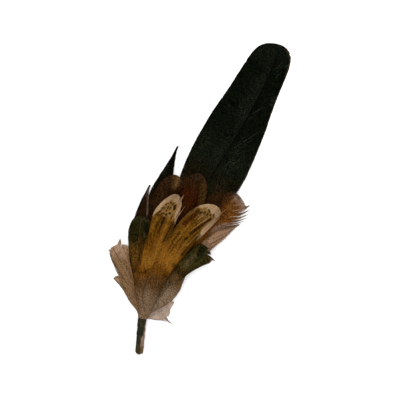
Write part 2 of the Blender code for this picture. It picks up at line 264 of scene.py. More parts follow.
def ease_between(values, share):
    """The value at each share of the way along evenly spaced stations, eased from each to the next."""
    values = np.asarray(values, float)
    place = np.clip(share, 0.0, 1.0) * (len(values) - 1)
    station = np.minimum(place.astype(int), len(values) - 2)
    before = values[np.maximum(station - 1, 0)]
    start, end = values[station], values[station + 1]
    after = values[np.minimum(station + 2, len(values) - 1)]
    t = place - station
    slope_in, slope_out = 0.5 * (end - before), 0.5 * (after - start)
    return ((2 * t**3 - 3 * t**2 + 1) * start + (t**3 - 2 * t**2 + t) * slope_in
            + (3 * t**2 - 2 * t**3) * end + (t**3 - t**2) * slope_out)


def shaft_point(feather, share):
    """Where the shaft is at each share of its length from the stem, and the direction to its right."""
    start, end = np.array((feather.root, MOUTH_GAP)), np.array(feather.tip)
    chord = np.linalg.norm(end - start)
    leave, arrive = heading(feather.leave) * chord, heading(feather.arrive) * chord
    t = np.asarray(share, float)[..., None]
    place = (start * (2 * t**3 - 3 * t**2 + 1) + leave * (t**3 - 2 * t**2 + t)
             + end * (3 * t**2 - 2 * t**3) + arrive * (t**3 - t**2))
    along = (start * (6 * t**2 - 6 * t) + leave * (3 * t**2 - 4 * t + 1)
             + end * (6 * t - 6 * t**2) + arrive * (3 * t**2 - 2 * t))
    along /= np.linalg.norm(along, axis=-1, keepdims=True)
    return place, np.stack([along[..., 1], -along[..., 0]], -1)


def edge_width(feather, grown, side):
    """How far the vane reaches from the shaft on that side, at a share of the way from its foot to its tip.

    Below the foot the down narrows until all the feathers together are as wide as the stem.
    """
    blunt, power = feather.cap
    above = np.clip(grown, 0.0, 1.0)
    width = np.where(side > 0, ease_between(feather.right, above), ease_between(feather.left, above))
    width = np.maximum(width * (1.0 - above**blunt) ** power, SHAFT_HALF_WIDTH)
    stem_width = MOUTH_HALF_WIDTH - side * (feather.root - STEM_TOP[0])
    below = np.clip(-grown * (1.0 - feather.foot) / feather.foot, 0.0, 1.0)
    return width + (stem_width - width) * below


def lie_height(x, y, level):
    """The height of a feather's underside: the shared dome of the bunch, and the feathers below it."""
    dome = (DOME_HEIGHT * smooth_step(y, *DOME_RISE) * (1.0 - smooth_step(y, *DOME_FALL))
            * np.exp(-((x - DOME_SPINE * y) ** 2) / (2.0 * DOME_WIDTH**2)))
    step = MOUTH_STEP + (SHELF_STEP - MOUTH_STEP) * smooth_step(y, 0.0, SHELF_REACH)
    lift = MOUTH_LIFT * (1.0 - smooth_step(y, 0.0, LIFT_REACH))
    return dome + lift + level * step


def gather_locks(count, chance):
    """Gathers a side's barbs into locks of a few, and gives the lock of each."""
    sizes = chance.integers(3, 10, count)
    return np.repeat(np.arange(count), sizes)[:count]


class Barbs(NamedTuple):
    """One value for each barb of a feather, from its foot to its tip, the left side's first.

    base is the barb's place along the vane and pitch its room there. centre is the middle of its lock, and
    lean how far the lock leans. shorter is the share of its length that it lacks, fine is 1 where it is
    down, and spiked is the number of its spike, or -1. random and phase are its own chance numbers.
    """

    side: np.ndarray
    base: np.ndarray
    pitch: np.ndarray
    centre: np.ndarray
    lean: np.ndarray
    shorter: np.ndarray
    fine: np.ndarray
    random: np.ndarray
    phase: np.ndarray
    spiked: np.ndarray


def grow_barbs(lay, start, chance):
    """The barbs of both sides, gathered in locks, with the notches and spikes marked."""
    count = 2 * lay.barbs
    side = np.repeat((-1.0, 1.0), lay.barbs)
    row = 1.0 - (1.0 - (np.arange(lay.barbs) + 0.5) / lay.barbs) ** BARBS_CLOSE_UP
    base, pitch = np.tile(row, 2), np.tile(np.gradient(row), 2)
    lock = np.concatenate([gather_locks(lay.barbs, chance), lay.barbs + gather_locks(lay.barbs, chance)])
    members = np.bincount(lock, minlength=count)
    centre = (np.bincount(lock, base, minlength=count) / np.maximum(members, 1))[lock]
    shorter = lay.fray * (FRAY_BY_LOCK * chance.random(count)[lock] + FRAY_BY_BARB * chance.random(count))
    lean = LOCK_LEAN * lay.loose * (chance.random(count)[lock] - 0.5) * pitch * members[lock]
    random = chance.random(count)
    phase = np.cumsum(chance.normal(0.0, WAVE_DRIFT, count))
    fine = 1.0 - smooth_step(start + (1.0 - start) * base, 0.6 * lay.downy, lay.downy + 0.02)
    ends_at = 1.0 - (1.0 - base) ** lay.rake
    for notch_side, share, half, depth in lay.notches:
        shorter[(side == notch_side) & (np.abs(ends_at - share) < half)] += depth
    spiked = np.full(count, -1)
    for index, (spike_side, share, half, _) in enumerate(lay.spikes):
        near = (side == spike_side) & (np.abs(ends_at - share) < half)
        spiked[near], shorter[near] = index, 0.0
    return Barbs(side, base, pitch, centre, lean, shorter, fine, random, phase, spiked)


def barb_field(feather, lay, chance):
    """Each barb's strip as points, and what the paint needs there.

    The arrays run over the barbs of both sides, the strip's two edges, and the steps along the barb.
    """
    start = -feather.foot / (1.0 - feather.foot) if lay.from_stem else 0.0
    shape = (2 * lay.barbs, 2, BARB_STEPS + 1)
    side, base, pitch, centre, lean, shorter, fine, random, phase, spiked = (
        np.broadcast_to(values[:, None, None], shape) for values in grow_barbs(lay, start, chance))
    edge = np.broadcast_to(np.array((-0.5, 0.5))[None, :, None], shape)
    reach = np.broadcast_to(np.linspace(0.0, 1.0, BARB_STEPS + 1)[None, None, :], shape)
    fill = BARB_OVERLAP * (1.0 - lay.thin * reach**2) * (1.0 - DOWN_THINNER * fine * reach)
    middle = base + lay.loose * reach**1.5 * (centre - base) + lean * reach
    along = np.clip(middle, 0.0, 0.999) + edge * pitch * fill
    share = start + (1.0 - start) * along
    end_share = start + (1.0 - start) * (1.0 - np.abs(1.0 - along) ** lay.rake)
    foot, _ = shaft_point(feather, feather.foot + (1.0 - feather.foot) * share)
    out, across = shaft_point(feather, feather.foot + (1.0 - feather.foot) * end_share)
    end = out + across * (side * edge_width(feather, end_share, side))[..., None]
    barb = end - foot
    sideways = np.stack([barb[..., 1], -barb[..., 0]], -1) * side[..., None]
    bow = BARB_BOW * 4.0 * reach * (1.0 - reach)
    turn = 2.0 * math.pi * (WAVES_ON_BARB * reach + phase)
    wave = lay.wave * fine * np.sin(turn) * reach / np.maximum(np.linalg.norm(barb, axis=-1), 0.5)
    flat = foot + barb * (reach * (1.0 - shorter))[..., None] + sideways * (bow + wave)[..., None]
    flat = draw_spikes(feather, lay, flat, end, np.where(spiked < 0, 0.0, SPIKE_PULL * reach**4), spiked)
    height = lie_height(flat[..., 0], flat[..., 1], feather.level) + VANE_LIFT
    height = height + BARB_TILT * edge + BARB_UNEVEN * random * reach
    height = height + lay.rise * reach**2 * smooth_step(share, 0.5, 1.0)
    marks = np.stack([side * reach, random, base], -1)
    return np.concatenate([flat, height[..., None]], -1), vane_places(feather, start, flat), marks


def draw_spikes(feather, lay, flat, end, pull, spiked):
    """Draws the barbs of each spike together at its point."""
    tip, across = shaft_point(feather, 1.0)
    forward = np.array((-across[1], across[0]))
    for index, (_, _, _, (aside, back)) in enumerate(lay.spikes):
        point = tip + across * aside - forward * back
        flat = flat + (point - end) * np.where(spiked == index, pull, 0.0)[..., None]
    return flat


def vane_places(feather, start, flat):
    """Where points are on the vane: right across the shaft, back from the tip, and in from the edge."""
    place, across = shaft_point(feather, np.linspace(0.0, 1.0, SHAFT_SAMPLES))
    passed = np.concatenate([[0.0], np.cumsum(np.linalg.norm(np.diff(place, axis=0), axis=1))])
    grown = np.linspace(start, 1.0, OUTLINE_SAMPLES)
    on_shaft, beside = shaft_point(feather, feather.foot + (1.0 - feather.foot) * grown)
    outline = np.concatenate([on_shaft + beside * (side * edge_width(feather, grown, side))[:, None]
                              for side in (-1.0, 1.0)])
    found = []
    for points in np.array_split(flat.reshape(-1, 2), BATCHES):
        nearest = np.argmin(((points[:, None] - place) ** 2).sum(-1), axis=1)
        offset, right = points - place[nearest], across[nearest]
        ahead = offset[:, 1] * right[:, 0] - offset[:, 0] * right[:, 1]
        inward = np.sqrt(((points[:, None] - outline) ** 2).sum(-1).min(1))
        found.append(np.stack([(offset * right).sum(-1), passed[-1] - passed[nearest] - ahead, inward], -1))
    return np.concatenate(found).reshape(*flat.shape[:-1], 3)


def vane_and_shaft(feather, lay, origin):
    """One mesh: the shaft, and a closed strip for each barb that grows from it."""
    chance = np.random.default_rng(sum(map(ord, feather.name)))
    points, vane, marks = barb_field(feather, lay, chance)
    shape = bmesh.new()
    vane_mark = shape.verts.layers.float_vector.new("vane")
    barb_mark = shape.verts.layers.float_vector.new("barb")
    add_shaft(shape, feather, lay, vane_mark, barb_mark)
    shaft_faces = len(shape.faces)
    rows = 4 * lay.barbs
    grid = bmesh.ops.create_grid(shape, x_segments=BARB_STEPS, y_segments=rows - 1, size=1.0)["verts"]
    shape.faces.ensure_lookup_table()
    between = [face for face in shape.faces[shaft_faces:]
               if int((face.calc_center_median().y + 1.0) / 2.0 * (rows - 1)) % 2 == 1]
    bmesh.ops.delete(shape, geom=between, context="FACES")
    for vert in grid:
        column = round((vert.co.x + 1.0) / 2.0 * BARB_STEPS)
        row = round((vert.co.y + 1.0) / 2.0 * (rows - 1))
        place = (row // 2, row % 2, column)
        vert.co = Vector(points[place]) * MM
        vert[vane_mark] = vane[place]
        vert[barb_mark] = marks[place]
    shape.faces.ensure_lookup_table()
    made = bmesh.ops.extrude_face_region(shape, geom=shape.faces[shaft_faces:])["geom"]
    lower = [vert for vert in made if isinstance(vert, bmesh.types.BMVert)]
    bmesh.ops.translate(shape, verts=lower, vec=(0.0, 0.0, -BARB_THICKNESS * MM))
    bmesh.ops.recalc_face_normals(shape, faces=shape.faces)
    bmesh.ops.translate(shape, verts=shape.verts, vec=origin)
    mesh = bpy.data.meshes.new(feather.name)
    shape.to_mesh(mesh)
    shape.free()
    return mesh


def add_tube(shape, sides, rings, capped):
    """A tube of radius 1 and height 1 round the origin, in this many rings of faces."""
    bmesh.ops.create_cone(shape, cap_ends=capped, segments=sides, radius1=1.0, radius2=1.0, depth=1.0)
    uprights = [edge for edge in shape.edges if abs(edge.verts[0].co.z - edge.verts[1].co.z) > 0.5]
    bmesh.ops.subdivide_edges(shape, edges=uprights, cuts=rings - 1, use_grid_fill=True)


def add_shaft(shape, feather, lay, vane_mark, barb_mark):
    """A tapered rod along the feather, bare below the foot of the vane and sunk in it above."""
    add_tube(shape, SHAFT_SIDES, SHAFT_RINGS, True)
    length = float(np.linalg.norm(np.subtract(feather.tip, (feather.root, MOUTH_GAP))))
    for vert in shape.verts:
        share = SHAFT_REACH * (vert.co.z + 0.5)
        around = math.atan2(vert.co.y, vert.co.x)
        place, across = shaft_point(feather, share)
        bare = max(0.0, 1.0 - share / max(feather.foot, 0.01))
        radius = 0.5 * lay.shaft * (1.0 - SHAFT_TAPER * share)
        radius += (QUILL_RADIUS - radius) * bare
        low = float(lie_height(place[0], place[1], feather.level))
        vert.co.x, vert.co.y = place + across * radius * math.cos(around)
        vert.co.z = low + SHAFT_LIFT + radius * math.sin(around) * SHAFT_FLATNESS
        vert.co *= MM
        grown = (share - feather.foot) / (1.0 - feather.foot)
        vert[vane_mark] = (radius * math.cos(around), length * (1.0 - share), 5.0)
        vert[barb_mark] = (0.0, 0.5, grown)
    for face in shape.faces:
        face.material_index = 1


def lay_out_bake(mesh):
    """A flat map on which each barb has its own row, so that a bake keeps them apart."""
    marks = np.empty(3 * len(mesh.vertices), np.float32)
    mesh.attributes["barb"].data.foreach_get("vector", marks)
    vane = np.empty(3 * len(mesh.vertices), np.float32)
    mesh.attributes["vane"].data.foreach_get("vector", vane)
    corners = np.empty(len(mesh.loops), np.int32)
    mesh.loops.foreach_get("vertex_index", corners)
    reach, share = marks[0::3], marks[2::3]
    across = np.where(reach == 0.0, 0.01 * np.sign(vane[0::3]), 0.02 * np.sign(reach) + 0.47 * reach)
    places = np.stack([0.5 + across, 0.02 + 0.96 * np.clip(share, -0.02, 1.0)], 1)
    layer = mesh.uv_layers.new(name="OFBake")
    layer.uv.foreach_set("vector", places[corners].astype(np.float32).ravel())


class Nodes:
    """Adds nodes to one tree. A value is a number, a colour or another node's socket."""

    def __init__(self, tree):
        self.tree = tree

    def feed(self, socket, value):
        if isinstance(value, bpy.types.NodeSocket):
            self.tree.links.new(value, socket)
        elif isinstance(value, tuple) and socket.type == "RGBA":
            socket.default_value = (*value, 1.0)
        else:
            socket.default_value = value

    def add(self, kind, *values, **settings):
        node = self.tree.nodes.new(kind)
        for name, value in settings.items():
            setattr(node, name, value)
        for socket, value in zip(node.inputs, values):
            self.feed(socket, value)
        return node

    def math(self, operation, *values):
        return self.add("ShaderNodeMath", *values, operation=operation).outputs[0]

    def times(self, first, second):
        return self.math("MULTIPLY", first, second)

    def plus(self, first, second):
        return self.math("ADD", first, second)

    def minus(self, first, second):
        return self.math("SUBTRACT", first, second)

    def over(self, first, second):
        return self.math("DIVIDE", first, second)

    def swing(self, value, width):
        """A value of about a half, turned to one that swings round 0."""
        return self.times(self.minus(value, 0.5), width)

    def marks(self, name):
        """The three numbers of an attribute of the vane."""
        found = self.add("ShaderNodeAttribute", attribute_name=name)
        return self.add("ShaderNodeSeparateXYZ", found.outputs["Vector"]).outputs

    def vector(self, x, y, z):
        return self.add("ShaderNodeCombineXYZ", x, y, z).outputs[0]

    def vector_math(self, operation, first, second, output=0):
        return self.add("ShaderNodeVectorMath", first, second, operation=operation).outputs[output]

    def scaled(self, vector, scale):
        node = self.add("ShaderNodeVectorMath", vector, operation="SCALE")
        self.feed(node.inputs["Scale"], scale)
        return node.outputs[0]

    def step(self, value, low, high):
        """0 at low, 1 at high and eased between, either way round."""
        node = self.add("ShaderNodeMapRange", value, low, high, interpolation_type="SMOOTHSTEP")
        return node.outputs[0]

    def blend(self, share, first, second):
        node = self.add("ShaderNodeMix", data_type="RGBA")
        for index, value in ((0, share), (6, first), (7, second)):
            self.feed(node.inputs[index], value)
        return node.outputs[2]

    def noise(self, vector, scale, detail=2.0):
        return self.add("ShaderNodeTexNoise", vector, 0.0, scale, detail).outputs[0]

    def barb_noise(self, along, out, layer, detail=2.0):
        """Noise that changes this many times along the vane, and this many times out along each barb."""
        reach, _, share = self.marks("barb")
        return self.noise(self.vector(self.times(share, along), self.times(reach, out), layer), 1.0, detail)

    def relief(self, shader, height, strength, depth):
        """Raises the look of a surface by a height, at most depth in millimetres."""
        bump = self.tree.nodes.new("ShaderNodeBump")
        bump.inputs["Strength"].default_value = strength
        bump.inputs["Distance"].default_value = depth * MM
        self.feed(bump.inputs["Height"], height)
        self.feed(shader.inputs["Normal"], bump.outputs[0])

    def group(self, tree, **values):
        node = self.tree.nodes.new("ShaderNodeGroup")
        node.node_tree = tree
        for name, value in values.items():
            self.feed(node.inputs[name], value)
        return node.outputs


def new_group(name, inputs, outputs):
    """An empty shader node group with these sockets, and its inner ends."""
    tree = bpy.data.node_groups.new(name, "ShaderNodeTree")
    for direction, sockets in (("INPUT", inputs), ("OUTPUT", outputs)):
        for socket, kind in sockets.items():
            tree.interface.new_socket(name=socket, in_out=direction, socket_type="NodeSocket" + kind)
    return tree, tree.nodes.new("NodeGroupInput").outputs, tree.nodes.new("NodeGroupOutput").inputs


def new_material(name):
    """A material, the means to add nodes to it, and its shader."""
    material = bpy.data.materials.new(name)
    material.use_nodes = True
    return material, Nodes(material.node_tree), material.node_tree.nodes["Principled BSDF"]


def make_grain():
    """Each barb a little lighter or darker than the next, with fine cross hatching from its barbules."""
    tree, given, put = new_group(
        "barb grain",
        {"Colour": "Color", "Depth": "Float", "Speckle": "Float"},
        {"Colour": "Color", "Height": "Float"},
    )
    nodes = Nodes(tree)
    _, random, _ = nodes.marks("barb")
    fine = nodes.barb_noise(900.0, 30.0, 0.0)
    slow = nodes.barb_noise(110.0, 1.5, 3.0)
    barbules = nodes.noise(nodes.add("ShaderNodeTexCoord").outputs["Object"], 2000.0, 1.0)
    sway = nodes.plus(nodes.swing(random, 0.8), nodes.minus(fine, 0.5))
    sway = nodes.plus(sway, nodes.swing(slow, 3.0))
    bright = nodes.plus(1.0, nodes.times(sway, given["Depth"]))
    paleness = nodes.vector_math("DOT_PRODUCT", given["Colour"], (0.3, 0.6, 0.1), "Value")
    contrast = nodes.over(0.45, nodes.plus(paleness, 0.06))
    speckle = nodes.times(nodes.swing(barbules, contrast), given["Speckle"])
    bright = nodes.math("MAXIMUM", nodes.plus(bright, speckle), 0.15)
    nodes.feed(put["Colour"], nodes.scaled(given["Colour"], bright))
    nodes.feed(put["Height"], nodes.plus(fine, random))
    return tree


def make_rim():
    """A band of another colour along one side's edge, from one distance back from the tip to another."""
    tree, given, put = new_group(
        "rim",
        {"Colour": "Color", "Paint": "Color", "Side": "Float", "From": "Float", "To": "Float",
         "Width": "Float", "Strength": "Float"},
        {"Colour": "Color"},
    )
    nodes = Nodes(tree)
    across, back, inward = nodes.marks("vane")
    _, random, share = nodes.marks("barb")
    ragged = nodes.noise(nodes.vector(nodes.times(share, 60.0), random, 2.0), 1.0)
    width = nodes.times(given["Width"], nodes.plus(0.55, nodes.times(ragged, 0.9)))
    left = nodes.over(nodes.minus(given["To"], back), nodes.minus(given["To"], given["From"]))
    tapered = nodes.plus(0.3, nodes.times(nodes.step(left, 0.0, 0.3), 0.7))
    width = nodes.times(width, tapered)
    near = nodes.step(nodes.over(inward, width), 1.2, 0.7)
    own_side = nodes.step(nodes.times(across, given["Side"]), -0.3, 0.3)
    begin = nodes.step(nodes.minus(back, given["From"]), -1.0, 1.0)
    end = nodes.step(nodes.minus(given["To"], back), -1.0, 1.0)
    mask = nodes.times(nodes.times(near, own_side), nodes.times(begin, end))
    mask = nodes.times(mask, given["Strength"])
    nodes.feed(put["Colour"], nodes.blend(mask, given["Colour"], given["Paint"]))
    return tree


def make_stroke():
    """A soft stroke of colour between two places on the vane, its border drawn out along the barbs."""
    tree, given, put = new_group(
        "stroke",
        {"Colour": "Color", "Paint": "Color", "From": "Vector", "To": "Vector", "Width": "Float",
         "Soft": "Float", "Strength": "Float"},
        {"Colour": "Color"},
    )
    nodes = Nodes(tree)
    across, back, _ = nodes.marks("vane")
    _, random, _ = nodes.marks("barb")
    ragged = nodes.barb_noise(90.0, 4.0, random)
    shake = nodes.times(nodes.math("MINIMUM", given["Soft"], 1.0), 2.2)
    shaken = nodes.plus(back, nodes.swing(ragged, shake))
    place = nodes.vector(across, shaken, 0.0)
    gone = nodes.vector_math("SUBTRACT", place, given["From"])
    whole = nodes.vector_math("SUBTRACT", given["To"], given["From"])
    square = nodes.math("MAXIMUM", nodes.vector_math("DOT_PRODUCT", whole, whole, "Value"), 0.0001)
    passed = nodes.over(nodes.vector_math("DOT_PRODUCT", gone, whole, "Value"), square)
    passed = nodes.math("MINIMUM", nodes.math("MAXIMUM", passed, 0.0), 1.0)
    away = nodes.vector_math("SUBTRACT", gone, nodes.scaled(whole, passed))
    distance = nodes.add("ShaderNodeVectorMath", away, operation="LENGTH").outputs["Value"]
    beyond = nodes.over(nodes.minus(distance, given["Width"]), given["Soft"])
    mask = nodes.times(nodes.step(beyond, 1.0, 0.0), given["Strength"])
    nodes.feed(put["Colour"], nodes.blend(mask, given["Colour"], given["Paint"]))
    return tree


class Finish(NamedTuple):
    """A feather's colours.

    The first is its tip's, and each of bands (from, to, colour) takes over between two distances back from
    the tip. Each of rims is (side, from, to, width, strength, colour). Each of strokes is (across, back,
    across, back, half width, softness, strength, colour), from one place on the vane to another. ragged is
    how unevenly the bands meet, at the tip and at the foot.
    """

    tip: tuple
    bands: tuple
    rims: tuple
    strokes: tuple
    ragged: tuple
    shaft: tuple
    roughness: float
    gloss: float
    grain: float
    speckle: float


CREAM = (0.4, 0.265, 0.145)
CREAM_SHADE = (0.245, 0.132, 0.038)
SPECK = (0.04, 0.018, 0.002)
STREAK = (0.03, 0.012, 0.002)
MAHOGANY = (0.045, 0.012, 0.0012)
SPLIT = (0.017, 0.019, 0.013)
# Painted sheen: paler paint on the long black feather that stands in for a highlight beside its shaft
PAINTED_SHEEN = (0.007, 0.0088, 0.0052)


def alike(strength, colour, *places):
    """Strokes of one strength and colour."""
    return tuple((*place, strength, colour) for place in places)


